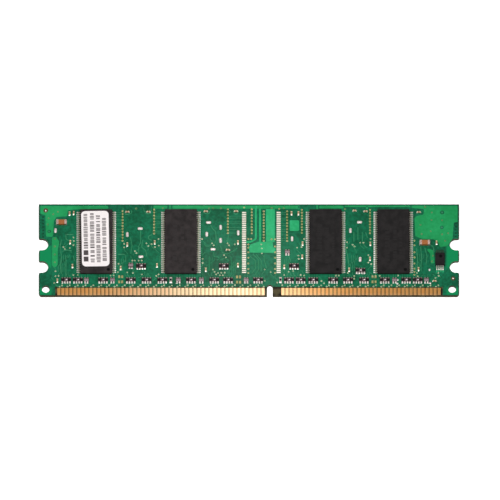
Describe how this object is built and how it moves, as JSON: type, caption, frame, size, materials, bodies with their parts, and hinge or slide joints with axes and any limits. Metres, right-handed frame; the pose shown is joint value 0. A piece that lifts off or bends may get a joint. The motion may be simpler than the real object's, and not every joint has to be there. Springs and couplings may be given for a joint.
{
  "type": "ram module",
  "caption": "Flat memory module: green board with notched ends, a keyed row of gold edge contacts, a row of black memory chips and small surface-mounted parts on one side.",
  "frame": {"origin": "middle of the flat back face", "axes": "+X along the board towards the end with the shorter contact row, +Y from the contact edge to the top edge, +Z out of the chip side"},
  "size_m": [0.1334, 0.0318, 0.0025],
  "materials": {
    "laminate": "woven glass and resin, sawn edges",
    "solder_mask": "glossy green lacquer over copper artwork",
    "inner_copper": "bare copper foil",
    "gold_contact": "gold plating, lightly wiped",
    "solder": "bright reflowed solder",
    "gold_wire": "drawn gold wire",
    "tape": "amber film",
    "silicon": "polished die",
    "lead_frame": "tinned lead frame",
    "mould_compound": "fine matt moulded texture",
    "label_paper": "satin paper with grey printed blocks",
    "resistor_ceramic": "dark fired ceramic",
    "resistor_coat": "dark glaze with a pale printed block",
    "tin_plating": "satin tin",
    "capacitor_ceramic": "brown fired ceramic"
  },
  "bodies": {
    "root": {"board_laminate": "laminate", "bulk_capacitor_left_body": "capacitor_ceramic", "bulk_capacitor_left_ends": "tin_plating", "bulk_capacitor_right_body": "capacitor_ceramic", "bulk_capacitor_right_ends": "tin_plating", "bulk_capacitor_solder": "solder", "capacitor_bodies": "capacitor_ceramic", "capacitor_ends": "tin_plating", "capacitor_solder": "solder", "chip_1_bond_wires": "gold_wire", "chip_1_case": "mould_compound", "chip_1_die": "silicon", "chip_1_die_tapes": "tape", "chip_1_leads": "lead_frame", "chip_1_solder": "solder", "chip_2_bond_wires": "gold_wire", "chip_2_case": "mould_compound", "chip_2_die": "silicon", "chip_2_die_tapes": "tape", "chip_2_leads": "lead_frame", "chip_2_solder": "solder", "chip_3_bond_wires": "gold_wire", "chip_3_case": "mould_compound", "chip_3_die": "silicon", "chip_3_die_tapes": "tape", "chip_3_leads": "lead_frame", "chip_3_solder": "solder", "chip_4_bond_wires": "gold_wire", "chip_4_case": "mould_compound", "chip_4_die": "silicon", "chip_4_die_tapes": "tape", "chip_4_leads": "lead_frame", "chip_4_solder": "solder", "contacts_back_left": "gold_contact", "contacts_back_right": "gold_contact", "contacts_front_left": "gold_contact", "contacts_front_right": "gold_contact", "eeprom_bond_wires": "gold_wire", "eeprom_case": "mould_compound", "eeprom_die": "silicon", "eeprom_leads": "lead_frame", "eeprom_paddle": "lead_frame", "eeprom_solder": "solder", "ground_plane": "inner_copper", "label_sticker": "label_paper", "power_plane": "inner_copper", "resistor_array_bodies": "resistor_ceramic", "resistor_array_coats": "resistor_coat", "resistor_array_solder": "solder", "resistor_array_terminals": "tin_plating", "resistor_bodies": "resistor_ceramic", "resistor_coats": "resistor_coat", "resistor_ends": "tin_plating", "resistor_pair_coats": "resistor_coat", "resistor_solder": "solder", "solder_links": "solder", "solder_mask_back": "solder_mask", "solder_mask_front": "solder_mask", "spare_array_lands": "solder", "spare_chip_lands": "solder"}
  },
  "joints": []
}
